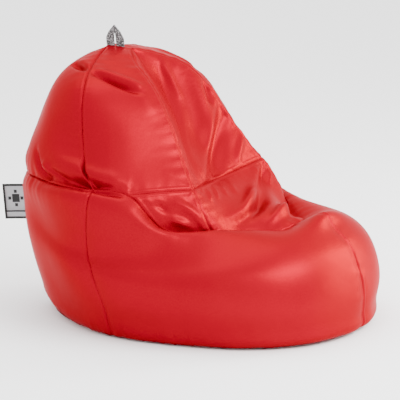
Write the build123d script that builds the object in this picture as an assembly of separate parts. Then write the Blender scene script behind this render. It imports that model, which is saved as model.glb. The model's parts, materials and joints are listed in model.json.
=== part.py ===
"""Bean bag chair: a sewn cover, an inner liner with its bead filling, two zips, a hanging loop and a side label.

Millimetres. +Z is up, the sitter faces -Y, and the origin is on the floor at the centre of the footprint.
"""
from build123d import *
from math import cos, pi, sin, sqrt
import os

os.makedirs("parts", exist_ok=True)

# cover, liner and filling, each a skin inside the one before
COVER_T = 1.2
LINER_T = 0.6
GAP = 0.4
LINER_IN = COVER_T + GAP
FILL_IN = LINER_IN + LINER_T + GAP
SEAM = 0.4

# the belt ring and the upper hull: (height, front, rear, half width)
BELT = [(0, -425, 375, 325), (30, -475, 424, 376), (110, -500, 460, 410), (210, -494, 480, 420),
        (290, -462, 489, 416), (335, -400, 488, 398), (372, -260, 478, 372), (392, -150, 460, 345)]
HULL = [(300, -150, 400, 290), (395, -160, 452, 338), (487, -92, 464, 312), (588, -22, 424, 256),
        (672, 52, 368, 178), (718, 112, 316, 110), (742, 160, 268, 52)]
BELT_POWER = (2.5, 1.8)
HULL_POWER = (2.1, 1.9)
OUTLINE_POINTS = 16

# the hollow that makes the seat and the backrest: a round-ended trough laid at the backrest's slope
SCOOP_R = 420
SCOOP_END = (0, -312, 708)
SLOPE = (0, 0.6446, 0.7644)
CROSS_SEAM = (0, -97, 402)

# seams
BASE_SEAM_Z = 12
RING_INSET = 92
ARM_END_Y = 30
SIDE_SEAM_Y = 132
HOOP_SEAM_Y = 196

# zips: each lies in a tuck across the underside, its slider parked at the right hand end
ZIP_Y = 150
ZIP_LONG = 600
LINER_ZIP_Y = -80
LINER_ZIP_LONG = 400
TUCK = 15.0
TUCK_TOP = 9.0
ZIP_Z = 2.6
TEETH = (0.7, 1.9, 3.2)
TEETH_T = 2.4
TOOTH_PITCH = 4.0
TAPE_T = 0.8
SLIDER = (12.0, 9.6, 6.0)
PLATE = 1.3
STOP = 3.0

# trim
WEBBING = 25
WEBBING_T = 1.4
LOOP_H = 57
LOOP_EYE = (6, 40)
LOOP_Y = 238
LABEL = (88, 99)
LABEL_T = 1.2
LABEL_Z = 272
ROOT_GAP = 1.2


def outline(z, front, rear, wide, powers):
    """A closed smooth outline at height z, blunter at the front than at the rear."""
    mid = 0.5 * (front + rear)
    points = []
    for k in range(OUTLINE_POINTS):
        a = 2 * pi * k / OUTLINE_POINTS
        power = powers[0] if sin(a) < 0 else powers[1]
        reach = mid - front if sin(a) < 0 else rear - mid
        c, s = cos(a), sin(a)
        x = wide * abs(c) ** (2 / power) * (1 if c > 0 else -1)
        y = mid + reach * abs(s) ** (2 / power) * (1 if s > 0 else -1)
        points.append((x, y, z))
    return Wire([Edge.make_spline([Vector(*p) for p in points], periodic=True)])


def steepness(levels, i):
    """How much further in a level moves sideways than square to the wall."""
    lo, hi = levels[max(i - 1, 0)], levels[min(i + 1, len(levels) - 1)]
    rise = hi[0] - lo[0]
    run = sum(abs(hi[k] - lo[k]) for k in (1, 2, 3)) / 3
    return min(sqrt(1 + (run / rise) ** 2), 3.0)


def skin(levels, powers, inset):
    """The lofted solid through the levels, drawn in by inset on every side."""
    rings = []
    for i, (z, front, rear, wide) in enumerate(levels):
        d = inset * steepness(levels, i)
        z += inset if i == 0 else -inset if i == len(levels) - 1 else 0
        rings.append(outline(z, front + d, rear - d, wide - d, powers))
    return Solid.make_loft(rings)


def scoop(grow):
    """The trough, grown outwards by grow."""
    axis = Vector(*SLOPE).normalized()
    radius = SCOOP_R + grow
    barrel = Solid.make_cylinder(radius, 900, Plane(origin=SCOOP_END, z_dir=axis))
    return barrel + Pos(*SCOOP_END) * Sphere(radius)


def tuck(y, wide, high, long):
    """The hollow over a zip, open below: half width, height and length."""
    return Pos(0, y, 0) * Box(long, 2 * wide, 2 * high)


def body(inset):
    """The whole bag, drawn in by inset: belt and hull together, less the seat."""
    whole = skin(BELT, BELT_POWER, inset) + skin(HULL, HULL_POWER, inset)
    return whole - scoop(inset)


def slab(y0, y1, x0=-700, x1=700, z0=-100, z1=1500):
    """A block between the given limits."""
    return Pos((x0 + x1) / 2, (y0 + y1) / 2, (z0 + z1) / 2) * Box(x1 - x0, y1 - y0, z1 - z0)


def tilted_half(ahead):
    """The seat's side of the cross seam, or the backrest's."""
    plane = Plane(origin=CROSS_SEAM, x_dir=(1, 0, 0), z_dir=SLOPE)
    shift = -SEAM / 2 - 700 if ahead else SEAM / 2 + 700
    return plane * Pos(0, 0, shift) * Box(1400, 1800, 1400)


def arm_well(grow):
    """The upright well inside the belt's rolled top, as far back as the inner arms go."""
    z, front, rear, wide = BELT[4]
    d = RING_INSET - grow
    ring = outline(200, front + d, rear - d, wide - d, BELT_POWER)
    return extrude(make_face(ring.edges()), 400, dir=(0, 0, 1)) & slab(-700, ARM_END_Y + grow)


def cover_panels():
    """The cover's cut panels, each a skin with a hair's gap where it is sewn to the next."""
    outer = body(0) - tuck(ZIP_Y, TUCK, TUCK_TOP, ZIP_LONG)
    inner = body(COVER_T) - tuck(ZIP_Y, TUCK + COVER_T, TUCK_TOP + COVER_T, ZIP_LONG + 2 * COVER_T)
    shell = outer - inner
    shell -= slab(ZIP_Y - TUCK - 3, ZIP_Y + TUCK + 3, z0=TUCK_TOP - 0.5, z1=20)
    hollow = shell & scoop(COVER_T + 0.2)
    rest = shell - scoop(COVER_T + 0.2 + SEAM)
    panels = {"seat_panel": hollow & tilted_half(True), "backrest_panel": hollow & tilted_half(False)}
    base = rest & slab(-700, 700, z1=BASE_SEAM_Z)
    panels["base_front"] = base & slab(-700, ZIP_Y - SEAM / 2)
    panels["base_rear"] = base & slab(ZIP_Y + SEAM / 2, 700)
    belt_top = BELT[-1][0]
    above = rest & slab(-700, 700, z0=belt_top + SEAM)
    below = rest & slab(-700, 700, z0=BASE_SEAM_Z + SEAM, z1=belt_top)
    belt = below - arm_well(SEAM / 2)
    arms = below & arm_well(-SEAM / 2)
    for side, x0, x1 in (("left", SEAM / 2, 700), ("right", -700, -SEAM / 2)):
        panels[f"belt_side_{side}"] = belt & slab(-700, SIDE_SEAM_Y - SEAM / 2, x0, x1)
        panels[f"belt_rear_{side}"] = belt & slab(SIDE_SEAM_Y + SEAM / 2, 700, x0, x1)
        panels[f"inner_arm_{side}"] = arms & slab(-700, 700, x0, x1)
        panels[f"upper_side_{side}"] = above & slab(-700, HOOP_SEAM_Y - SEAM / 2, x0, x1)
        panels[f"upper_rear_{side}"] = above & slab(HOOP_SEAM_Y + SEAM / 2, 700, x0, x1)
    return panels


def lining():
    """The inner bag and the beads it holds, both tucked in over the two zips."""
    over = ZIP_LONG + 2 * COVER_T
    bag_tuck, bead_tuck = TUCK + COVER_T + GAP, TUCK + COVER_T + LINER_T + 2 * GAP
    lift = LINER_IN
    outside = body(LINER_IN) - tuck(ZIP_Y, bag_tuck, 11.4, over + 2 * GAP)
    outside -= tuck(LINER_ZIP_Y, TUCK, lift + TUCK_TOP, LINER_ZIP_LONG)
    inside = body(LINER_IN + LINER_T) - tuck(ZIP_Y, bag_tuck + LINER_T, 11.4 + LINER_T, over + 3 * GAP + LINER_T)
    inside -= tuck(LINER_ZIP_Y, TUCK + LINER_T, lift + TUCK_TOP + LINER_T, LINER_ZIP_LONG + 2 * LINER_T)
    bag = outside - inside
    bag -= slab(LINER_ZIP_Y - TUCK - 3, LINER_ZIP_Y + TUCK + 3, z0=lift + TUCK_TOP - 0.5, z1=22)
    beads = body(FILL_IN) - tuck(ZIP_Y, bead_tuck, 11.4 + LINER_T + GAP, over + 6 * GAP)
    beads -= tuck(LINER_ZIP_Y, TUCK + LINER_T + GAP, lift + TUCK_TOP + 2, LINER_ZIP_LONG + 4 * GAP)
    return {"inner_liner": bag, "bead_filling": beads}


def teeth(long, sign):
    """One row of teeth on its spine, seen from above, with the other row's half a pitch along."""
    tip, root, back = TEETH
    half = long / 2 - 10.4
    points = [(-half, back * sign), (-half, root * sign)]
    x = -half + (0.5 if sign > 0 else 0.5 + TOOTH_PITCH / 2)
    while x + TOOTH_PITCH / 2 < half:
        points += [(x, root * sign), (x, tip * sign), (x + TOOTH_PITCH / 2, tip * sign),
                   (x + TOOTH_PITCH / 2, root * sign)]
        x += TOOTH_PITCH
    points += [(half, root * sign), (half, back * sign)]
    row = extrude(make_face(Polyline(*points, close=True)), TEETH_T, dir=(0, 0, 1))
    return Pos(0, 0, ZIP_Z + SLIDER[2] / 2 - TEETH_T / 2) * row


def slider(long):
    """Two plates with turned-in edges, joined by the post that runs between the rows."""
    sx, sy, sz = SLIDER
    lip = (sz - 2 * PLATE - TAPE_T) / 2 - GAP
    half = Pos(0, 0, PLATE / 2) * Box(sx, sy, PLATE)
    for sign in (-1, 1):
        half += Pos(0, sign * (sy / 2 - 0.45), PLATE + lip / 2) * Box(sx, 0.9, lip)
    whole = half + Pos(0, 0, sz) * Rot(180, 0, 0) * half + Pos(0, 0, sz / 2) * Box(4, 0.7, sz)
    whole = fillet(whole.edges().filter_by(Axis.Z).filter_by(lambda e: abs(abs(e.center().Y) - sy / 2) < 0.01
                                                             and abs(abs(e.center().X) - sx / 2) < 0.01), 0.3)
    return Pos(-(long / 2 - 10 - sx / 2 - GAP), 0, ZIP_Z) * whole


def zipper(prefix, front, rear, y, lift, long):
    """Tapes, teeth, slider and end stops of one zip, in place."""
    tape_y0, tape_y1 = TEETH[2] + 0.3, TUCK - GAP
    mid = ZIP_Z + SLIDER[2] / 2
    pieces = {f"{prefix}_slider": slider(long)}
    for name, sign in ((front, -1), (rear, 1)):
        tape = Pos(0, sign * (tape_y0 + tape_y1) / 2, mid) * Box(long - 2, tape_y1 - tape_y0, TAPE_T)
        pieces[f"{prefix}_tape_{name}"] = tape
        pieces[f"{prefix}_teeth_{name}"] = teeth(long, sign)
    for name, sign in (("left", 1), ("right", -1)):
        stop = Box(STOP, 2 * TEETH[2], TEETH_T)
        pieces[f"{prefix}_stop_{name}"] = Pos(sign * (long / 2 - 10 + STOP / 2), 0, mid) * stop
    return {name: Pos(0, y, lift) * piece for name, piece in pieces.items()}


def grab_loop():
    """Webbing folded to a point, its two ends side by side in the crown seam."""
    half = WEBBING + LOOP_EYE[0] / 2
    side = [(half - 1, 0), (half, 14), (half * 0.72, 34), (half * 0.3, 51), (0, LOOP_H)]
    right = Spline(*side)
    edge = right + mirror(right, Plane.YZ) + Line((-side[0][0], 0), (side[0][0], 0))
    leaf = make_face(edge.edges())
    eye = Pos(0, LOOP_EYE[1] / 2) * Rectangle(LOOP_EYE[0], LOOP_EYE[1])
    legs = extrude(leaf - eye, WEBBING_T / 2, both=True)
    fold = extrude(leaf & Pos(0, LOOP_H) * Rectangle(80, 2 * (LOOP_H - LOOP_EYE[1])), WEBBING_T, both=True)
    upright = Plane(origin=(0, LOOP_Y, HULL[-1][0] + ROOT_GAP), x_dir=(0, 1, 0), z_dir=(1, 0, 0))
    return upright * (legs + fold)


def side_label():
    """A woven label folded double, its open edge in the rear seam of the belt."""
    long, high = LABEL
    root = max(level[2] for level in BELT) + ROOT_GAP
    return Pos(0, root + long / 2, LABEL_Z) * Box(LABEL_T, long, high)


parts = cover_panels() | lining()
parts |= zipper("zip", "front", "rear", ZIP_Y, 0, ZIP_LONG)
parts |= zipper("liner_zip", "front", "rear", LINER_ZIP_Y, LINER_IN, LINER_ZIP_LONG)
parts |= {"grab_loop": grab_loop(), "side_label": side_label()}

for name, shape in parts.items():
    export_step(shape, f"parts/{name}.step")
    box = shape.bounding_box()
    print(name, len(shape.solids()), round(shape.volume / 1000, 2), "cm3",
          [round(v, 1) for v in (*box.min, *box.max)])
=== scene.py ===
# %% [markdown]
# # A bean bag chair, panel by panel
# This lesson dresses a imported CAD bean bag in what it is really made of: cut panels of red leatherette, sewn
# together and pushed out by the beads behind them. We work in metres, with +Z up and the sitter facing -Y.
# The CAD model is the fixed frame. Every piece we make either stands for CAD panels or rides on a moving
# body.

import json
import math

import bpy
import numpy as np
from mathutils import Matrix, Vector, kdtree

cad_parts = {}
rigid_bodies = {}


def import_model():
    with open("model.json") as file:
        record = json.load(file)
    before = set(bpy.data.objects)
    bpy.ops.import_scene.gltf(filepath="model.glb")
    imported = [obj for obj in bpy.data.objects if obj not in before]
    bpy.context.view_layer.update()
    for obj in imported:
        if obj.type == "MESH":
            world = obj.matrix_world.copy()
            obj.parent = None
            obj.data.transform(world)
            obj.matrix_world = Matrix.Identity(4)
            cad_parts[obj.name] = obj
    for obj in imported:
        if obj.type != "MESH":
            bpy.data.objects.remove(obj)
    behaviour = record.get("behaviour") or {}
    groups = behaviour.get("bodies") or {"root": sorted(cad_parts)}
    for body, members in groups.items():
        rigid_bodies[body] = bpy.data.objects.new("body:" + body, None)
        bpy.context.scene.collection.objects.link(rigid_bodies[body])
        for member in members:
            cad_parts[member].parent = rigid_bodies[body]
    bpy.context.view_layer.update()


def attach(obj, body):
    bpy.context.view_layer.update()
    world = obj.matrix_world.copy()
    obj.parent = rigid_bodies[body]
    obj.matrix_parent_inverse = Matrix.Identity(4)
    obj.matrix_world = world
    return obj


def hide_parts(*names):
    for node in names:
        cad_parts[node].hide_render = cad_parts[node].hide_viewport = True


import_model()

# %% [markdown]
# ## Smooth surfaces from a few points
# A sewn bag is smooth between its seams, so a handful of well placed points describes each part of it. A
# natural cubic spline is a weighted sum of its points, and the weights depend only on where we ask. Written
# as a matrix, one product turns a small grid of points into a fine grid, in both directions at once.

# %% Spline weights
def spline(knots, at):
    """Weights that turn values at the knots into natural cubic spline values at the given places."""
    knots, at = np.asarray(knots, float), np.asarray(at, float)
    n = len(knots)
    a, b = np.zeros((n, n)), np.zeros((n, n))
    a[0, 0] = a[-1, -1] = 1
    for i in range(1, n - 1):
        h0, h1 = knots[i] - knots[i - 1], knots[i + 1] - knots[i]
        a[i, i - 1:i + 2] = h0, 2 * (h0 + h1), h1
        b[i, i - 1:i + 2] = 6 / h0, -6 / h0 - 6 / h1, 6 / h1
    bend = np.linalg.solve(a, b)
    i = np.clip(np.searchsorted(knots, at, side="right") - 1, 0, n - 2)
    h = knots[i + 1] - knots[i]
    p, q = (knots[i + 1] - at) / h, (at - knots[i]) / h
    eye = np.eye(n)
    p_bend, q_bend = (p ** 3 - p) * h * h / 6, (q ** 3 - q) * h * h / 6
    return (p[:, None] * eye[i] + q[:, None] * eye[i + 1]
            + p_bend[:, None] * bend[i] + q_bend[:, None] * bend[i + 1])


def surface(grid, rows, cols, row_at, col_at):
    """A fine grid of points through a coarse grid of control points."""
    grid = np.asarray(grid, float)
    return np.einsum("ri,ijk,cj->rck", spline(rows, row_at), grid, spline(cols, col_at))


print("halfway between 0 and 1 of four knots, the weights are", spline([0, 1, 2, 3], [0.5])[0].round(3))

# %% [markdown]
# ## Measuring along lines
# Seams are polylines. We need the distance travelled along one, the same line with evenly spaced points, and
# places between its knots that are close together but still include every knot, so that seams fall on whole
# columns.

# %% Lengths and even spacing
def along(points):
    """Distance travelled along a polyline, starting at 0."""
    steps = np.linalg.norm(np.diff(points, axis=0), axis=1)
    return np.concatenate([[0], np.cumsum(steps)])


def even(points, count):
    """The same polyline with evenly spaced points."""
    d = along(points)
    at = np.linspace(0, d[-1], count)
    return np.stack([np.interp(at, d, points[:, k]) for k in range(3)], 1)


def between(knots, density=1.0):
    """Places along the knots, about a step apart, that include every knot."""
    stretches = [np.linspace(a, b, max(2, round((b - a) * density / STEP)) + 1)[:-1]
                 for a, b in zip(knots[:-1], knots[1:])]
    return np.concatenate(stretches + [[knots[-1]]])


MIRROR = np.array([-1.0, 1, 1])
STEP = 0.005
print("grid step", STEP, "m")

# %% [markdown]
# ## The belt
# The lower part is a padded ring. We describe half of it with columns of points, from the centre of the front
# round to the centre of the back. Each column climbs from the base seam, out over the side, over the rolled
# top and in to the seam that it shares with the seat, the arms or the upper panels. The outer levels are
# superellipses, blunter at the front than at the back. The top two rows are placed one by one.

# %% Belt levels and top edge
LEVELS = [  # front, rear, half width, then height at the front, the side and the rear
    (-0.423, 0.378, 0.348, 0.006, 0.007, 0.008),
    (-0.480, 0.418, 0.360, 0.012, 0.012, 0.014),
    (-0.498, 0.436, 0.375, 0.044, 0.046, 0.052),
    (-0.500, 0.448, 0.398, 0.108, 0.104, 0.125),
    (-0.484, 0.466, 0.405, 0.180, 0.152, 0.198),
    (-0.457, 0.477, 0.400, 0.238, 0.194, 0.265),
    (-0.416, 0.483, 0.378, 0.279, 0.222, 0.325),
]
CURL = [0, .022, .011, 0, 0, 0, 0]                                   # how far each level curls up at the rear
ANGLES = [-90, -67, -44, -22, -5, 7, 17, 42, 66, 90]                 # one for each column
CREST = [(0, -.372, .315), (.105, -.322, .287), (.190, -.235, .293), (.282, -.148, .301), (.362, -.045, .318),
         (.388, .045, .368), (.392, .135, .385), (.312, .312, .378), (.166, .437, .366), (0, .477, .362)]
TOP = [(0, -.318, .290), (.080, -.280, .270), (.150, -.212, .267), (.232, -.160, .286), (.316, -.042, .306),
       (.352, .035, .400), (.362, .132, .408), (.300, .300, .402), (.166, .428, .394), (0, .464, .388)]
CORNER_COL, ARM_COL, SIDE_COL, REAR_COL = 3, 5, 6, 9                 # columns where a seam meets the top edge
print("belt levels", len(LEVELS), "columns in half the ring", len(ANGLES))

# %% [markdown]
# ## Blunt in front, round behind
# Seen from above, the bag is neither a rectangle nor an ellipse. A superellipse lies between them: its power
# sets how square it is, and the front half takes a higher power than the rear half.

# %% Belt control points
FRONT_POWER, REAR_POWER = 2.5, 1.85
CURL_START, CURL_LENGTH = 0.12, 0.25


def oval(front, rear, wide, angle):
    """A point on a superellipse, angle -90 at the front, 0 at the side and 90 at the rear."""
    middle, a = 0.5 * (front + rear), math.radians(angle)
    power, reach = (FRONT_POWER, middle - front) if a < 0 else (REAR_POWER, rear - middle)
    x = 0.0 if abs(angle) == 90 else wide * abs(math.cos(a)) ** (2 / power)
    return x, middle + math.copysign(reach * abs(math.sin(a)) ** (2 / power), a)


def belt_grid():
    """Rows of control points for the half ring, bottom to top."""
    rows = []
    for (front, rear, wide, z_front, z_side, z_rear), curl in zip(LEVELS, CURL):
        row = []
        for angle in ANGLES:
            s = math.sin(math.radians(angle))
            x, y = oval(front, rear, wide, angle)
            z = z_side + ((z_front if s < 0 else z_rear) - z_side) * s * s
            row.append((x, y, z + curl * min(1.0, max(0.0, (y - CURL_START) / CURL_LENGTH))))
        rows.append(row)
    return np.array(rows + [CREST, TOP])


half = belt_grid()
print("control points in half the ring", half.shape[:2])

# %% [markdown]
# ## Closing the ring
# The other half is the mirror image. A natural spline is straight at its ends, so we let the columns overlap
# by a few on each side: the ring then runs smoothly through the front centre, where it starts and stops.

# %% Belt surface
OVERLAP, WIDEST_ROW, SIDE_COLUMN = 4, 4, 4
ring = np.concatenate([half, half[:, -2:0:-1] * MIRROR], 1)          # round to just short of the front centre
wrapped = np.concatenate([ring[:, -OVERLAP:], ring, ring[:, :OVERLAP + 1]], 1)
travelled = along(wrapped[WIDEST_ROW])
travelled -= travelled[OVERLAP]
COL = travelled[OVERLAP:OVERLAP + ring.shape[1] + 1]                  # column places, from the front centre
ROW = along(half[:, SIDE_COLUMN])
col_at, row_at = between(COL), np.linspace(0, ROW[-1], round(ROW[-1] / STEP) + 1)
belt = surface(wrapped, ROW, travelled, row_at, col_at)
top_edge = belt[-1]
print("belt", belt.shape, "round the widest part", round(float(COL[-1]), 3), "m")

# %% [markdown]
# ## The upper hull
# Above the belt, four panels make a hood: a side and a rear panel on each hand. Columns run from the arch
# seam, which edges the backrest, round to the centre of the back. Rows climb from the belt to the crown. The
# side panel's top edge is the short crown seam that holds the hanging loop, so its columns end along that
# seam.

# %% Hull control points
ARCH = [(.2246, -.097, .4026), (.205, -.068, .445), (.181, -.033, .505), (.152, .023, .600),
        (.122, .081, .665), (.075, .145, .702), (0, .195, .727)]
HULL = np.array([                                                    # one line for each column
    ARCH,
    [(.300, -.030, .404), (.308, .030, .445), (.290, .062, .505), (.250, .100, .600), (.207, .136, .660),
     (.125, .178, .700), (0, .228, .730)],
    [(.362, .132, .408), (.338, .165, .442), (.302, .192, .508), (.282, .206, .600), (.252, .214, .660),
     (.160, .236, .700), (0, .262, .731)],
    [(.300, .300, .402), (.288, .312, .442), (.256, .328, .508), (.229, .318, .600), (.196, .300, .658),
     (.122, .282, .698), (0, .262, .731)],
    [(.166, .428, .394), (.165, .432, .438), (.145, .420, .508), (.126, .387, .600), (.103, .351, .656),
     (.064, .312, .696), (0, .262, .731)],
    [(0, .464, .388), (0, .468, .435), (0, .450, .508), (0, .410, .600), (0, .367, .656), (0, .317, .700),
     (0, .262, .731)]]).transpose(1, 0, 2)                            # rows by columns, the sitter's left half
HROW = along(HULL[:, 0])
print("hull control points", HULL.shape[:2])

# %% [markdown]
# ## From points to the hood
# The grid is mirrored and made fine. Columns on a seam keep their place, so a panel can be cut out along
# them.

# %% Hull surface
HOOD_CLIMB = 0.56                                                    # metres from the belt up to the crown
hull_grid = np.concatenate([HULL, HULL[:, -2::-1] * MIRROR], 1)
HCOL = along(hull_grid[2])
hull_rows, hull_cols = np.linspace(0, HROW[-1], round(HOOD_CLIMB / STEP) + 1), between(HCOL, 1.15)
hull = surface(hull_grid, HROW, HCOL, hull_rows, hull_cols)


def belt_col(knot):
    """The fine column of the belt that lies on a control column, counted round from the front centre."""
    return int(np.argmin(abs(col_at - COL[knot])))


def hull_col(knot):
    """The fine column of the hull that lies on a control column, counted from the left arch seam."""
    return int(np.argmin(abs(hull_cols - HCOL[knot])))


hoop, spine = hull_col(2), hull_col(5)                               # the hoop seam and the rear centre seam
print("hull", hull.shape, "hoop seam at column", hoop, "rear seam at column", spine)

# %% [markdown]
# ## Sewing the hood to the belt
# Both edges must be the same line. The hood's foot follows the arm seam and then the belt's top edge, and the
# hull is pulled onto it. The pull fades out as we climb, so the hood keeps its shape above.

# %% Hood meets belt
arm_seam = np.array([ARCH[0], (.290, -.040, .405), TOP[ARM_COL]])     # from the arch seam's foot to the belt
arm_seam = even(spline([0, .5, 1], np.linspace(0, 1, 40)) @ arm_seam, 40)
left_foot = np.concatenate([arm_seam, top_edge[belt_col(ARM_COL):belt_col(SIDE_COL) + 1][1:]])
left_back = top_edge[belt_col(SIDE_COL):belt_col(REAR_COL) + 1]
foot = np.concatenate([even(left_foot, hoop + 1), even(left_back, spine - hoop + 1)[1:]])
foot = np.concatenate([foot, foot[-2::-1] * MIRROR])
pull = (1 - hull_rows / hull_rows[-1]) ** 3
hull += pull[:, None, None] * (foot - hull[0])[None]
print("the hood's foot is", round(float(along(foot)[-1]), 3), "m long")

# %% [markdown]
# ## The backrest
# The backrest hangs between the two arch seams. Its edge columns use the same points as the hull's, so they
# meet. The middle column lies lower, and the columns between are a blend, so the panel dishes in where a
# sitter leans.

# %% Backrest surface
CENTRE = [(0, -.066, .388), (0, -.030, .434), (0, .012, .494), (0, .072, .580), (0, .128, .646),
          (0, .166, .693), (0, .195, .727)]
BCOL = np.array([0, .1, .2246, .3492, .4492])
arch, centre = np.array(ARCH), np.array(CENTRE)
quarter = 0.42 * arch + 0.58 * centre + (0, -.004, .002)
quarter[:, 0] = 0.55 * arch[:, 0]
back_grid = np.stack([arch, quarter, centre, quarter * MIRROR, arch * MIRROR], 1)
backrest = surface(back_grid, HROW, BCOL, hull_rows, np.linspace(0, BCOL[-1], round(BCOL[-1] / STEP) + 1))
cross_seam = backrest[0]
print("backrest", backrest.shape)

# %% [markdown]
# ## Normals and patches
# Folds and padding push a surface along its normals, so we need those for any grid of points. The seat and
# the arms are filled in from their four edges with a Coons patch: it adds the two ways of stretching straight
# lines across the gap and takes off the flat patch that was counted twice.

# %% Normals, patches and padding
def normals(patch):
    """Unit normals of a grid of points."""
    n = np.cross(np.gradient(patch, axis=1), np.gradient(patch, axis=0))
    size = np.linalg.norm(n, axis=2)
    sound = size > 0.004 * np.median(size)                           # rows that close to a point have no normal
    n[sound] /= size[sound][:, None]
    whole = np.flatnonzero(sound.all(1))
    for row in np.flatnonzero(~sound.all(1)):
        mean = n[whole[np.argmin(abs(whole - row))]].mean(0)
        n[row, ~sound[row]] = mean / np.linalg.norm(mean)
    return n


def coons(low, high, first, last):
    """A patch between four edges: low and high run along the columns, first and last along the rows."""
    v = np.linspace(0, 1, len(first))[:, None, None]
    u = np.linspace(0, 1, len(low))[None, :, None]
    flat = (1 - v) * (1 - u) * low[0] + (1 - v) * u * low[-1] + v * (1 - u) * high[0] + v * u * high[-1]
    return (1 - v) * low[None] + v * high[None] + (1 - u) * first[:, None] + u * last[:, None] - flat


def puff(patch, height):
    """Raises the middle of a patch along its normals by height, and its edges not at all."""
    r, c = patch.shape[:2]
    v, u = np.linspace(0, 1, r)[:, None], np.linspace(0, 1, c)[None]
    return patch + (16 * v * (1 - v) * u * (1 - u) * height)[..., None] * normals(patch)


print("the first normal of the backrest is", normals(backrest)[0, 0].round(2))

# %% [markdown]
# ## Seat and arms
# The seat lies between the cross seam, the two legs of the arch seams and the belt's front edge. Each arm is
# the small panel left over between the leg, the arm seam and the belt.

# %% Seat and arm surfaces
SEAT_DEPTH, ARM_LENGTH, ARM_HEIGHT = 0.22, 0.17, 0.11                # for the number of grid steps
leg = np.array([ARCH[0], (.241, -.134, .348), TOP[CORNER_COL]])       # the arch seam's end, down to the belt
leg = even(spline([0, .5, 1], np.linspace(0, 1, 40)) @ leg, 40)
corner = belt_col(CORNER_COL)
nose = np.concatenate([top_edge[corner::-1], top_edge[1:corner + 1] * MIRROR])
rows = round(SEAT_DEPTH / STEP)
seat = coons(cross_seam, even(nose, len(cross_seam)), even(leg, rows), even(leg * MIRROR, rows))
diagonal = top_edge[corner:belt_col(ARM_COL) + 1][::-1]
split = int(np.argmin(np.linalg.norm(diagonal - TOP[4], axis=1)))     # the arm's fourth corner
n_arm, n_side = round(ARM_LENGTH / STEP), round(ARM_HEIGHT / STEP)
arm = coons(even(arm_seam, n_arm), even(diagonal[split:][::-1], n_arm),
            even(leg, n_side), even(diagonal[:split + 1], n_side))
print("seat", seat.shape, "arm", arm.shape)

# %% [markdown]
# ## Seams
# Every seam is an edge that two panels share, so we can read it straight off the surfaces. The seams of the
# sitter's left half are mirrored for the right half. Later, each vertex asks how far away its nearest seam
# is.

# %% Seam lines
c_side, c_rear = belt_col(SIDE_COL), belt_col(REAR_COL)
SEAMS = [belt[:, 0], belt[:, c_rear], belt[:, c_side], top_edge[:c_rear + 1], hull[:, 0], hull[:, hoop],
         hull[:, spine], hull[-1, :hoop + 1], cross_seam, arm_seam, leg, belt[0]]
SEAMS += [line * MIRROR for line in SEAMS]
SEAM_STEP = 0.002
seam_lines = [even(line, max(8, round(along(line)[-1] / SEAM_STEP))) for line in SEAMS]
seam_points = np.concatenate(seam_lines)
SEAM_GAP = 3.0                                                       # metres that keep the seams' lengths apart
seam_along = np.concatenate([along(line) + SEAM_GAP * k for k, line in enumerate(seam_lines)])
seam_tree = kdtree.KDTree(len(seam_points))
for i, p in enumerate(seam_points):
    seam_tree.insert(p, i)
seam_tree.balance()
print("seams", len(SEAMS), "metres sewn", round(sum(along(line)[-1] for line in seam_lines), 1))

# %% [markdown]
# ## Folds
# Folds are where the skin has more cloth than the beads behind it can fill. A simulation would make folds of
# its own choosing. This chair has known ones, so each is a short path in space with a height (negative for a
# crease) and a width. A fold with a share also appears, weaker, on the other side of the bag.

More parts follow.
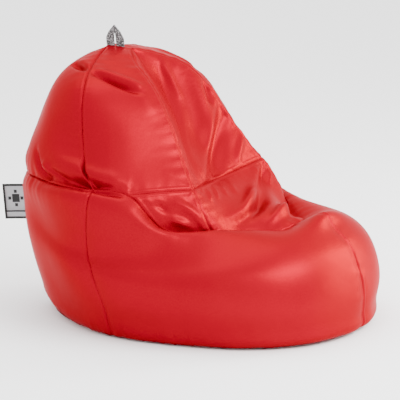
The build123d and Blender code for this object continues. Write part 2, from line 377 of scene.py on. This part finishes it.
# %% Fold lines
TOP_Z = 0.730                                                        # height of the crown seam
BOTH, ONE = 0.75, 0.0                                                # how much of a fold the other side gets
FOLDS = [  # height, width, share for the mirror image, path
    # the shoulder crease, pinched where it crosses the hoop seam, and the lip that hangs over it
    (-.021, .009, BOTH, [(-.120, .305, .688), (-.158, .270, .693), (-.184, .238, .692)]),
    (-.028, .010, BOTH, [(-.192, .216, .690), (-.197, .169, .676), (-.189, .125, .659), (-.174, .085, .636)]),
    (.013, .013, BOTH, [(-.184, .215, .706), (-.181, .169, .694), (-.174, .125, .678), (-.160, .085, .655)]),
    (.006, .014, BOTH, [(-.110, .296, .706), (-.145, .262, .708), (-.172, .232, .706)]),
    (.005, .018, BOTH, [(-.171, .114, .663), (-.179, .078, .631), (-.189, .040, .588)]),
    # the upper panels sag over the belt behind the arm
    (-.024, .013, BOTH, [(-.366, .050, .403), (-.360, .131, .411), (-.344, .190, .416), (-.322, .245, .418),
                         (-.300, .290, .418)]),
    (.012, .018, BOTH, [(-.345, .030, .430), (-.342, .131, .444), (-.330, .186, .454), (-.315, .235, .462),
                        (-.290, .290, .474)]),
    (-.023, .011, BOTH, [(-.250, .365, .478), (-.268, .350, .452), (-.288, .325, .424), (-.312, .285, .410)]),
    (.009, .011, BOTH, [(-.285, .320, .452), (-.305, .285, .436)]),
    (-.011, .007, BOTH, [(-.300, .300, .444), (-.322, .262, .434), (-.342, .223, .424)]),
    (-.004, .008, BOTH, [(-.280, .262, .500), (-.303, .196, .506)]),
    (-.003, .008, BOTH, [(-.275, .262, .530), (-.298, .196, .532)]),
    (-.006, .022, BOTH, [(-.050, .445, .440), (-.130, .420, .455), (-.200, .385, .440)]),
    # long soft folds on the backrest
    (.020, .026, ONE, [(.114, .075, .653), (.099, .038, .587), (.076, .012, .525), (.021, -.009, .465),
                       (-.130, -.074, .412)]),
    (.010, .018, ONE, [(.150, .020, .575), (.112, .005, .540), (.057, -.007, .490), (.000, -.020, .450)]),
    (-.010, .010, ONE, [(.150, .045, .630), (.134, .030, .600), (.119, .014, .559)]),
    (-.022, .027, ONE, [(.170, .000, .540), (.128, -.019, .503), (.066, -.031, .449), (-.020, -.064, .392)]),
    (.009, .011, ONE, [(.200, -.045, .475), (.150, -.058, .438), (.110, -.072, .406)]),
    (-.015, .018, ONE, [(.050, .150, .680), (-.007, .062, .568), (-.089, -.012, .493), (-.170, -.073, .425)]),
    (.007, .011, ONE, [(.066, .140, .690), (.053, .095, .632), (.043, .064, .585)]),
    # the seat's slack, gathered towards the arm it is nearest
    (.020, .015, ONE, [(.176, -.108, .384), (.034, -.158, .356), (-.083, -.184, .333), (-.164, -.171, .320)]),
    (-.034, .016, ONE, [(.204, -.114, .376), (.072, -.176, .345), (-.063, -.208, .327), (-.136, -.196, .303)]),
    (.008, .008, ONE, [(.216, -.123, .370), (.170, -.148, .345)]),
    (.019, .014, ONE, [(.140, -.200, .335), (.036, -.248, .314), (-.069, -.254, .298)]),
    (-.015, .012, ONE, [(.130, -.225, .300), (.040, -.275, .293), (-.031, -.282, .288)]),
    # small gathers where the seat is eased onto the cross seam
    (.009, .007, ONE, [(-.147, -.100, .386), (-.179, -.130, .363)]),
    (.009, .007, ONE, [(-.096, -.096, .384), (-.136, -.131, .362)]),
    (.010, .008, ONE, [(-.047, -.098, .380), (-.085, -.134, .363)]),
    (.009, .009, ONE, [(.010, -.098, .380), (-.038, -.139, .363)]),
    # the inner arms
    (.012, .012, BOTH, [(-.285, -.066, .380), (-.252, -.112, .345), (-.247, -.137, .310)]),
    (-.011, .008, BOTH, [(-.318, -.030, .378), (-.300, -.058, .354)]),
    (.010, .010, BOTH, [(-.300, -.064, .335), (-.268, -.109, .314)]),
    (-.005, .008, BOTH, [(-.262, -.086, .384), (-.244, -.118, .350)]),
]
print("folds", len(FOLDS), "of them on both sides", sum(share > 0 for _, _, share, _ in FOLDS))

# %% [markdown]
# ## How high a fold stands
# Across its path a fold is a smooth hump. Along its path it fades out towards both ends. Only the vertices in
# a box round the path are measured, which keeps forty folds quick.

# %% Fold profile
def near_seam(points):
    """Distance from each point to the nearest seam, and how far along that seam it is."""
    found = [seam_tree.find(p) for p in points]
    return np.array([f[2] for f in found]), seam_along[[f[1] for f in found]]


def fold_height(points, height, width, path):
    """What one fold adds at each point: a smooth ridge or crease that fades out at the ends of its path."""
    path = np.array(path)
    knots = np.arange(len(path))
    line = even(spline(knots, np.linspace(0, knots[-1], 60)) @ path, 60)
    taper = np.sin(math.pi * np.linspace(0.02, 0.98, 60)) ** 0.6
    move = np.zeros(len(points))
    inside_box = np.all((points > line.min(0) - 3 * width) & (points < line.max(0) + 3 * width), 1)
    near = np.flatnonzero(inside_box)
    if len(near):
        gap = np.linalg.norm(points[near, None] - line[None], axis=2)
        nearest = gap.argmin(1)
        move[near] = height * taper[nearest] * np.exp(-(gap.min(1) / width) ** 2)
    return move


shoulder_crease = fold_height(hull.reshape(-1, 3), FOLDS[0][0], FOLDS[0][1], FOLDS[0][3])
print("the shoulder crease is", round(float(-shoulder_crease.min()), 4), "m deep")

# %% [markdown]
# ## Puckers and slack
# Stitches gather the cloth into small puckers that run along the seam, with wavelengths of about two and six
# centimetres. A slower swell over the whole panel, a millimetre or two high, keeps it from looking moulded.

# %% Puckers and slack
PUCKERS = [(.0004, .024, 5, .010, .010), (.0011, .060, 6, .0, .045)]  # height, wavelength, seed, middle, spread
SLACK, SLACK_CLEAR, SLACK_WAVES, SLACK_SEED = 0.0011, 0.05, 14, 4


def ripple(s, scale, seed):
    """Smooth noise along a length s, about one wave per scale, between -1 and 1."""
    r = np.random.default_rng(seed)
    waves = [np.sin(2 * math.pi * s / (scale * r.uniform(0.55, 2.2)) + r.uniform(0, 6.28)) for _ in range(7)]
    return sum(waves) / 3.2


def swell(points):
    """Smooth noise in space from a few plane waves between 16 and 42 cm long."""
    total, r = np.zeros(len(points)), np.random.default_rng(SLACK_SEED)
    for _ in range(SLACK_WAVES):
        w = r.normal(0, 1, 3)
        w *= 2 * math.pi / (np.linalg.norm(w) * r.uniform(0.16, 0.42))
        total += np.sin(points @ w + r.uniform(0, 6.28))
    return total


print("a 24 mm pucker at 0, 5 and 10 mm:", ripple(np.array([0, .005, .010]), .024, 5).round(2))

# %% [markdown]
# ## Sewing the surfaces
# A seam holds two skins in a valley. So the cloth stays put on the seam line itself and rises beside it,
# steeply for the first two millimetres and then gently. Beside the groove runs a low welt: the seam
# allowance, folded to one side and topstitched flat. Folds fade out before a seam, and at the crown, where
# all panels meet, nothing moves.

# %% Displacement by seams and folds
GROOVE, SHOULDER = (.0022, .0024), (.0024, .016)                     # height and width
WELT = (.0009, .0075, .003)                                          # height, distance from the seam and width
STITCH, CLEAR, CROWN = 0.004, 0.006, 0.022


def sewn(patch, out):
    """The patch with its seams, puckers and folds in place, moved along the normals out."""
    points = patch.reshape(-1, 3)
    d, s = near_seam(points)
    held = 1 - np.exp(-(d / STITCH) ** 2)                            # stitches hold the seam line itself still
    move = GROOVE[0] * (1 - np.exp(-(d / GROOVE[1]) ** 2))
    move += SHOULDER[0] * (1 - np.exp(-(d / SHOULDER[1]) ** 1.5))
    move += WELT[0] * np.exp(-((d - WELT[1]) / WELT[2]) ** 2)
    for height, wavelength, seed, middle, spread in PUCKERS:
        move += height * ripple(s, wavelength, seed) * held * np.exp(-((d - middle) / spread) ** 2)
    move += SLACK * swell(points) * (1 - np.exp(-(d / SLACK_CLEAR) ** 2))
    clear = 1 - np.exp(-(d / CLEAR) ** 2)
    for height, width, share, path in FOLDS:
        move += clear * fold_height(points, height, width, path)
        if share:
            move += clear * fold_height(points, share * height, width, np.array(path) * MIRROR)
    move *= 1 - np.exp(-(np.hypot(points[:, 0], points[:, 2] - TOP_Z) / CROWN) ** 2)
    return patch + move.reshape(patch.shape[:2])[..., None] * out


sample = sewn(backrest, normals(backrest)) - backrest
print("the backrest moves by up to", round(float(np.linalg.norm(sample, axis=2).max()), 3), "m")

# %% [markdown]
# ## From grids to panels
# Every panel is cut from its surface as a grid. The grid gets extra rows and columns beside the seams,
# because a groove two millimetres wide needs vertices that close. Its four edges are turned in, as a seam
# allowance is.

# %% Panel grids
def outward(patch, inside):
    """The patch with its columns reversed if its normals point at the given inner point."""
    return patch if np.sum(normals(patch) * (patch - np.asarray(inside, float))) > 0 else patch[:, ::-1]


def closer(count):
    """Places along a row of count points, with extra ones between the first few and the last few."""
    fine = np.array([0, .2, .4, .6, .8, 1, 1.25, 1.5, 1.75, 2, 2.33, 2.67, 3, 3.5])
    return np.concatenate([fine, np.arange(4, count - 4), (count - 1 - fine)[::-1]])


def refined(patch):
    """The patch with closer rows and columns along its four edges."""
    for axis in (0, 1):
        at = closer(patch.shape[axis])
        low = np.minimum(at.astype(int), patch.shape[axis] - 2)
        t = (at - low).reshape((-1, 1, 1) if axis == 0 else (1, -1, 1))
        patch = np.take(patch, low, axis) * (1 - t) + np.take(patch, low + 1, axis) * t
    return patch


def grid_data(patch, hem=0.0, out=None, start=0):
    """Vertices and quads of a grid of points, its four edges turned in by hem against the normals out."""
    p = patch
    if hem:
        m = np.pad(out, ((1, 1), (1, 1), (0, 0)), mode="edge")
        p = np.pad(patch, ((1, 1), (1, 1), (0, 0)), mode="edge")
        edge = np.ones(p.shape[:2], bool)
        edge[1:-1, 1:-1] = False
        p[edge] -= hem * m[edge]
    rows, cols = p.shape[:2]
    index = start + np.arange(rows * cols).reshape(rows, cols)
    quads = np.stack([index[:-1, :-1], index[:-1, 1:], index[1:, 1:], index[1:, :-1]], -1).reshape(-1, 4)
    return p.reshape(-1, 3).tolist(), quads.tolist()


print("a panel of 60 by 60 becomes", refined(np.zeros((60, 60, 3))).shape[:2])

# %% [markdown]
# ## Mesh objects and strips
# Every piece goes through one function that makes a smooth shaded mesh object. Webbing and woven labels are
# flat strips with a thickness, so a second function sweeps a closed section between two edge lines and caps
# its ends.

# %% Mesh objects and strips
def make_object(name, points, faces, material):
    """A smooth shaded mesh object with one material."""
    mesh = bpy.data.meshes.new(name)
    mesh.from_pydata(points, [], faces)
    mesh.polygons.foreach_set("use_smooth", [True] * len(faces))
    mesh.materials.append(material)
    obj = bpy.data.objects.new(name, mesh)
    bpy.context.collection.objects.link(obj)
    return obj


def ribbon(name, left, right, thick, material, count=24, across=6):
    """A closed strip between two edge lines, with the given thickness."""
    a, b = even(np.array(left, float), count), even(np.array(right, float), count)
    t = np.linspace(0, 1, across)[None, :, None]
    mid = a[:, None] * (1 - t) + b[:, None] * t
    lift = 0.5 * thick * normals(mid)
    section = np.concatenate([mid + lift, (mid - lift)[:, ::-1]], 1)
    points, faces = grid_data(np.concatenate([section, section[:, :1]], 1))
    turn, last = 2 * across + 1, 2 * across - 1
    for base in (0, (count - 1) * turn):
        caps = [[base + k, base + k + 1, base + last - k - 1, base + last - k] for k in range(across - 1)]
        faces += [c[::-1] for c in caps] if base else caps
    obj = make_object(name, points, faces, material)
    weld = obj.modifiers.new("weld", "WELD")
    weld.merge_threshold = 0.00001
    return obj


print("a strip of 24 by 6 has", 24 * (2 * 6 + 1), "vertices before welding")

# %% [markdown]
# ## Colours and nodes
# Colours are written as sRGB hex, the way a colour picker shows them, and turned to linear values once. One
# small function adds any shader node with its settings and links. Patterns are computed from object
# coordinates in metres, so a helper turns the real size of one repeat, in millimetres, into repeats per
# metre.

# %% Colours and nodes
def linear(hex_colour):
    """An sRGB hex colour as the linear RGBA that shaders use."""
    c = np.array([int(hex_colour[i:i + 2], 16) / 255 for i in (1, 3, 5)])
    c = np.where(c <= 0.04045, c / 12.92, ((c + 0.055) / 1.055) ** 2.4)
    return (*map(float, c), 1.0)


def per_metre(millimetres):
    """Repeats per metre of a pattern with this repeat."""
    return 1000 / millimetres


def node(tree, kind, settings=None, **inputs):
    """Adds a shader node, sets its properties, and sets or links its inputs (i0, i1 address them by number)."""
    made = tree.nodes.new(kind)
    for key, value in (settings or {}).items():
        setattr(made, key, value)
    for key, value in inputs.items():
        by_number = key[0] == "i" and key[1:].isdigit()
        socket = made.inputs[int(key[1:])] if by_number else made.inputs[key.replace("_", " ")]
        if isinstance(value, bpy.types.NodeSocket):
            tree.links.new(value, socket)
        else:
            socket.default_value = value
    return made


def blank(name):
    """An empty node material: the material, its tree, its output and the object coordinates."""
    m = bpy.data.materials.new(name)
    m.use_nodes = True
    m.node_tree.nodes.clear()
    t = m.node_tree
    return m, t, t.nodes.new("ShaderNodeOutputMaterial"), node(t, "ShaderNodeTexCoord").outputs["Object"]


print("a dark red in linear values", np.round(linear("#820015"), 3))

# %% [markdown]
# ## Leatherette
# The cover is polyurethane-coated cloth, calendered against an embossed roller, which leaves a pebble grain
# just under a millimetre across. The eye sees satin: broad soft highlights that keep a red tint. A plain
# dielectric makes white highlights, so half of the reflection is metallic with a red tint, and the white part
# is turned far down.

# %% Leatherette
RED_DARK, RED_LIGHT = "#820015", "#8a0017"
GRAIN, CREASE, CLOUD = 0.91, 38.5, 111.0                             # millimetres


def leatherette():
    """Red coated cloth with a pebble grain, soft creases and slightly uneven gloss."""
    m, t, out, where = blank("leatherette_red")
    grain = node(t, "ShaderNodeTexVoronoi", {"feature": "SMOOTH_F1"}, Vector=where, Scale=per_metre(GRAIN),
                 Smoothness=0.6)
    creasing = node(t, "ShaderNodeTexNoise", Vector=where, Scale=per_metre(CREASE), Detail=3.0)
    fine = node(t, "ShaderNodeBump", Height=grain.outputs["Distance"], Strength=0.22, Distance=0.0003)
    bump = node(t, "ShaderNodeBump", Height=creasing.outputs["Fac"], Strength=0.16, Distance=0.004,
                Normal=fine.outputs["Normal"])
    cloud = node(t, "ShaderNodeTexNoise", Vector=where, Scale=per_metre(CLOUD), Detail=2.0)
    tone = node(t, "ShaderNodeMix", {"data_type": "RGBA"}, i0=cloud.outputs["Fac"], i6=linear(RED_DARK),
                i7=linear(RED_LIGHT))
    rough = node(t, "ShaderNodeMapRange", Value=cloud.outputs["Fac"], i3=0.33, i4=0.40)
    skin = node(t, "ShaderNodeBsdfPrincipled", Base_Color=tone.outputs[2], Roughness=rough.outputs[0], IOR=1.5,
                Normal=bump.outputs["Normal"], Specular_IOR_Level=0.02, Metallic=0.5,
                Specular_Tint=(1.0, 0.12, 0.1, 1.0))
    t.links.new(skin.outputs["BSDF"], out.inputs["Surface"])
    return m


RED = leatherette()
print("made", RED.name)

# %% [markdown]
# ## Woven cloth
# The liner is plain woven cotton, the zip tape a dense twill, the loop a grey polyester webbing with dark
# flecks in its yarn, the label a damask. All are two crossed sets of threads, which give a fine, matt, even
# speckle. Real threads here are 0.4 to 0.9 mm wide, and flecks about 4 mm long.

# %% Woven cloth
# At scale 1 a wave texture draws 20 / (2 pi) bands a metre. Real threads are too fine to show at this distance, so
# they are drawn about six times as coarse.
BANDS, COARSER = 20 / (2 * math.pi), 6.28


def woven(name, warp, weft, threads, fleck=None):
    """Plain weave: two crossed sets of threads per metre, in two colours, with optional dark flecks of yarn."""
    m, t, out, where = blank(name)
    bands = dict(Vector=where, Scale=threads / (COARSER * BANDS), Distortion=0.4)
    a = node(t, "ShaderNodeTexWave", {"bands_direction": "Y"}, **bands)
    b = node(t, "ShaderNodeTexWave", {"bands_direction": "Z"}, **bands)
    cross = node(t, "ShaderNodeMath", {"operation": "MULTIPLY"}, i0=a.outputs["Fac"], i1=b.outputs["Fac"])
    colour = node(t, "ShaderNodeMix", {"data_type": "RGBA"}, i0=cross.outputs[0], i6=linear(warp),
                  i7=linear(weft))
    if fleck:
        yarn = node(t, "ShaderNodeTexNoise", Vector=where, Scale=per_metre(3.85), Detail=1.0)
        spot = node(t, "ShaderNodeMapRange", Value=yarn.outputs["Fac"], i1=0.46, i2=0.53)
        colour = node(t, "ShaderNodeMix", {"data_type": "RGBA"}, i0=spot.outputs[0], i6=colour.outputs[2],
                      i7=linear(fleck))
    bump = node(t, "ShaderNodeBump", Height=cross.outputs[0], Strength=0.6, Distance=0.0004)
    cloth = node(t, "ShaderNodeBsdfPrincipled", Base_Color=colour.outputs[2], Roughness=0.85,
                 Normal=bump.outputs["Normal"], Sheen_Weight=0.1)
    t.links.new(cloth.outputs["BSDF"], out.inputs["Surface"])
    return m


LINER = woven("liner_cotton", "#8d867c", "#a39c92", 1400)
TAPE = woven("zip_tape_twill", "#8c0a10", "#a30d14", 1800)
WEBBING = woven("loop_webbing_grey", "#6f6d6e", "#a09c9d", 1100, fleck="#2a2829")
LABEL_BLACK = woven("label_black", "#0c0c0d", "#1a1a1b", 2600)
LABEL_GREY = woven("label_grey", "#8f8f92", "#b4b4b7", 2600)
print("woven", [m.name for m in (LINER, TAPE, WEBBING, LABEL_BLACK, LABEL_GREY)])

# %% [markdown]
# ## Beads, nylon and zinc
# Expanded polystyrene beads are matt and white, extruded nylon zip teeth have a low gloss, and a die-cast
# zinc slider is a dull metal. One plain surface with a faint mottle in its roughness serves for all three,
# and for the floor.

# %% Plain finishes
def plain(name, colour, roughness, metallic=0.0):
    """One colour with a faint mottle in its roughness."""
    m, t, out, where = blank(name)
    noise = node(t, "ShaderNodeTexNoise", Vector=where, Scale=per_metre(16.7))
    rough = node(t, "ShaderNodeMapRange", Value=noise.outputs["Fac"], i3=roughness - 0.04, i4=roughness + 0.04)
    surf = node(t, "ShaderNodeBsdfPrincipled", Base_Color=linear(colour), Roughness=rough.outputs[0],
                Metallic=metallic)
    t.links.new(surf.outputs["BSDF"], out.inputs["Surface"])
    return m


BEADS = plain("bead_white", "#b8b8b4", 0.6)
TEETH = plain("zip_teeth_nylon", "#7e0a0f", 0.4)
METAL = plain("zip_zinc", "#9a9a9c", 0.35, 1.0)
print("materials", len(bpy.data.materials))

# %% [markdown]
# ## The cover
# Fourteen panels: four round the belt, four in the hood, the backrest, the seat, an arm inside each side, and
# the two base panels that stay as CAD. Left panels are mirrored to make the right ones. A grid has no idea
# which side of it is out, so each panel is compared with a point behind it and turned round if need be. The
# beads press the cover out like the filling of a cushion.

# %% Cutting the panels
MIDDLE = (0, 0.05, 0.2)                                              # a point inside the bag
BEHIND = {                                                           # and for panels that don't face away from it
    "seat_panel": (0, -.2, 0), "backrest_panel": (0, .3, .3),
    "inner_arm_left": (.3, -.05, 0), "inner_arm_right": (-.3, -.05, 0),
}
belt_left, upper_left = belt[:, :c_rear + 1], hull[:, :spine + 1]
left_panels = {
    "belt_side_left": belt_left[:, :c_side + 1], "belt_rear_left": belt_left[:, c_side:],
    "upper_side_left": upper_left[:, :hoop + 1], "upper_rear_left": upper_left[:, hoop:],
    "inner_arm_left": puff(arm, 0.006),
}
right_panels = {name.replace("left", "right"): patch[:, ::-1] * MIRROR for name, patch in left_panels.items()}
panels = left_panels | right_panels | {"backrest_panel": backrest, "seat_panel": puff(seat, -0.01)}
panels = {name: outward(patch, BEHIND.get(name, MIDDLE)) for name, patch in panels.items()}
print("cut", len(panels), "panels")

# %% [markdown]
# ## Sewing the panels
# Each panel is refined, sewn and turned into a mesh. Its hem reaches 14 mm inwards and fades out at the
# crown, where the panels run to a point and a hem would poke through its neighbours.

# %% Cover panels
HEM, HEM_FADE, FILL = 0.014, 0.03, 0.9
for name, patch in panels.items():
    fine = refined(patch)
    out = normals(fine)
    hem = 1 - np.exp(-(np.hypot(fine[..., 0], fine[..., 2] - TOP_Z) / HEM_FADE) ** 2)
    panel = make_object(name + "_skin", *grid_data(sewn(fine, out), HEM, out * hem[..., None]), RED)
    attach(panel, "bag")
    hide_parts(name)
    print(f"{name:18s}{len(panel.data.vertices):7d} vertices")

# %% [markdown]
# ## Inside the cover
# Under the cover is a cotton liner that keeps the beads in when the cover comes off for washing, and inside
# that the filling. Neither shows, but both are there: the same surfaces, set in along their normals. Near the
# crown the bag is thin, so there they are set in by less and lie lower, clear of the hanging loop.

# %% Liner and filling
LAYERS = [("inner_liner", 0.030, LINER, "liner_cloth"), ("bead_filling", 0.036, BEADS, "bead_fill")]
CROWN_DROP, CROWN_REACH, COARSE = (0, 0, 0.03), 0.06, 3
for name, depth, look, slot in LAYERS:
    points, faces = [], []
    for patch in panels.values():
        r = np.hypot(patch[..., 0], patch[..., 2] - TOP_Z)[..., None]   # distance from the crown
        smaller = patch - np.minimum(depth, 0.5 * r) * normals(patch) - CROWN_DROP * np.exp(-(r / CROWN_REACH) ** 2)
        p, q = grid_data(smaller[::COARSE, ::COARSE], start=len(points))
        points += p
        faces += q
    bag = make_object(name + "_bag", points, faces, look)
    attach(bag, "bag")
    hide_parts(name)
    print(bag.name, len(points), "vertices")

# %% [markdown]
# ## CAD parts that stay
# The base panels and both zips are already the right shape in the CAD model, hidden under the bag or in its
# seams. They keep their meshes and only get materials: twill tape, nylon coil, zinc slider.

# %% Materials for the CAD parts
CAD_LOOKS = [("zip_tape", TAPE), ("zip_teeth", TEETH), ("zip_stop", METAL), ("zip_slider", METAL),
             ("base_", RED)]
for obj in list(bpy.data.objects):
    for key, look in CAD_LOOKS:
        if obj.type == "MESH" and key in obj.name and not obj.name.endswith("_skin"):
            obj.data.materials.clear()
            obj.data.materials.append(look)
            print("finished", obj.name)

# %% [markdown]
# ## The hanging loop
# A length of 25 mm webbing is folded back on itself with a turned point, so its two legs lie side by side,
# and both ends go into the crown seam. We build the legs as strips between two edge lines, then lay the
# folded tip over them.

# %% Loop
ROOT_Y, ROOT_Z, LEAN = 0.241, 0.729, 0.10
LEG_THICK, TIP_THICK = 0.0018, 0.0040
OUTER_EDGE = [(.0265, -.003), (.0268, .010), (.0268, .024), (.020, .036), (.0008, .0545)]   # sideways, then up
INNER_EDGE = [(.0020, -.003), (.0024, .010), (.0024, .024), (.0016, .032), (.0004, .041)]
TIP_EDGE = [(.0200, .0370), (.0115, .0470), (.0004, .0590)]


def on_loop(y, h):
    """A point of the loop, h above the crown seam, with the loop leaning back a little."""
    return (0.003 * (h / 0.058) ** 2, ROOT_Y + y + LEAN * h, ROOT_Z + h)


def loop_edge(side, edge):
    """An edge line of the loop on its front (-1) or rear (1) side."""
    return [on_loop(side * y, h) for y, h in edge]


loop_parts = []
for side, end in ((-1, "front"), (1, "rear")):
    outer, inner = loop_edge(side, OUTER_EDGE), loop_edge(side, INNER_EDGE)
    loop_parts.append(ribbon("loop_leg_" + end, outer, inner, LEG_THICK, WEBBING))
loop_parts.append(ribbon("loop_tip", loop_edge(-1, TIP_EDGE), loop_edge(1, TIP_EDGE), TIP_THICK, WEBBING))
for part in loop_parts:
    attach(part, "loop")
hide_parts("grab_loop")
print("loop top at", round(max(v.co.z for v in loop_parts[2].data.vertices), 3), "m")

# %% [markdown]
# ## The side label
# A woven label is sewn into the rear centre seam and stands out from it, drooping a little at its free end.
# It is a damask: black border, light grey field, a simple geometric figure and a plain band near the bottom
# edge. Each colour is a thin layer of its own, a fraction of a millimetre proud of the one before.

# %% Label
DROOP, SEAM_Y, LABEL_Z = math.radians(5.5), 0.4965, 0.270
LAYER = [0.0010, 0.0014, 0.0018]                                     # thickness of border, field and figure
SQUARES = [(.056, .009, .0115), (.037, .009, .0045), (.075, .009, .0045), (.056, .028, .0045),
           (.056, -.010, .0045)]                                     # middle and half a side


def on_label(a, b):
    """A point of the label, a out from the seam and b above its middle, with a slight curl across the bag."""
    return (0.004 * math.sin(30 * a), SEAM_Y + a * math.cos(DROOP) + b * math.sin(DROOP),
            LABEL_Z - a * math.sin(DROOP) + b * math.cos(DROOP))


def label_piece(name, a0, a1, b0, b1, thick, fabric):
    """A rectangle of the label between a0 and a1, b0 and b1."""
    at = np.linspace(a0, a1, 12)
    piece = ribbon(name, [on_label(a, b0) for a in at], [on_label(a, b1) for a in at], thick, fabric, 14, 5)
    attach(piece, "label")
    return piece


label = label_piece("label_border", -.004, .094, -.0495, .0495, LAYER[0], LABEL_BLACK)
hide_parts("side_label")
extras = [label_piece("label_field", -.003, .0870, -.0255, .0430, LAYER[1], LABEL_GREY),
          label_piece("label_band", -.003, .0870, -.0430, -.0300, LAYER[1], LABEL_GREY)]
for k, (a, b, r) in enumerate(SQUARES):
    extras.append(label_piece(f"label_figure_{k}", a - r, a + r, b - r, b + r, LAYER[2], LABEL_BLACK))
print("label pieces", len(extras) + 1)

# %% [markdown]
# ## The label's size
# The label is 98 by 99 mm with the strip inside the seam, and its woven squares belong to it.

# %% [markdown]
# ## Floor and light
# A white floor and a white world give soft contact shadows. One large lamp stands in front of the bag, as in
# a product studio. A tall one beside it lights the far flank, and a weak one hangs above.

# %% Floor and light
LIGHTS = [  # name, place, size, watts
    ("key", (-0.5, -2.9, 2.3), (3.2, 1.3), 200),
    ("fill", (2.0, -2.0, 1.0), (0.9, 1.6), 90),
    ("top", (0.3, 0.6, 3.4), (2.4, 2.4), 60),
]
FLOOR_SIZE, WORLD_STRENGTH = 30, 2.5


def aim(obj, at):
    """Turns a lamp or camera so that it looks at a point."""
    obj.rotation_euler = (Vector(at) - obj.location).to_track_quat("-Z", "Y").to_euler()


bpy.ops.mesh.primitive_plane_add(size=FLOOR_SIZE)
floor = bpy.context.object
floor.name = "floor"
floor.data.materials.append(plain("floor_white", "#fafafa", 0.9))
for name, place, size, power in LIGHTS:
    lamp = bpy.data.lights.new(name, "AREA")
    lamp.shape, lamp.energy = "RECTANGLE", power
    lamp.size, lamp.size_y = size
    light = bpy.data.objects.new(name, lamp)
    light.location = place
    bpy.context.collection.objects.link(light)
    aim(light, (0, 0, 0.3))
world = bpy.data.worlds.new("studio")
world.use_nodes = True
sky = world.node_tree.nodes["Background"]
sky.inputs["Color"].default_value = (1, 1, 1, 1)
sky.inputs["Strength"].default_value = WORLD_STRENGTH
bpy.context.scene.world = world
print("lamps", len(LIGHTS), "total watts", sum(power for *_, power in LIGHTS))

# %% [markdown]
# ## Camera
# The view is from the sitter's right and a little above. The camera stands far away with a long lens, so
# parallel edges stay nearly parallel, and the frame is 1.1 metres wide at the bag.

# %% Camera
AZIMUTH, ELEVATION = math.radians(-65), math.radians(12.5)
DISTANCE, FRAME_WIDTH, SENSOR = 14.0, 1.10, 36
TARGET_RIGHT, TARGET_UP = 0.0124, 0.3127                             # the middle of the frame, from the origin
back_dir = Vector((math.sin(AZIMUTH) * math.cos(ELEVATION), -math.cos(AZIMUTH) * math.cos(ELEVATION),
                   math.sin(ELEVATION)))
right_dir = Vector((math.cos(AZIMUTH), math.sin(AZIMUTH), 0))
target = right_dir * TARGET_RIGHT + back_dir.cross(right_dir) * TARGET_UP
view = bpy.data.cameras.new("view")
view.sensor_width = SENSOR
view.lens = SENSOR * DISTANCE / FRAME_WIDTH
camera = bpy.data.objects.new("view", view)
camera.location = target + back_dir * DISTANCE
bpy.context.collection.objects.link(camera)
aim(camera, target)
bpy.context.scene.camera = camera
print("lens", round(view.lens), "mm")
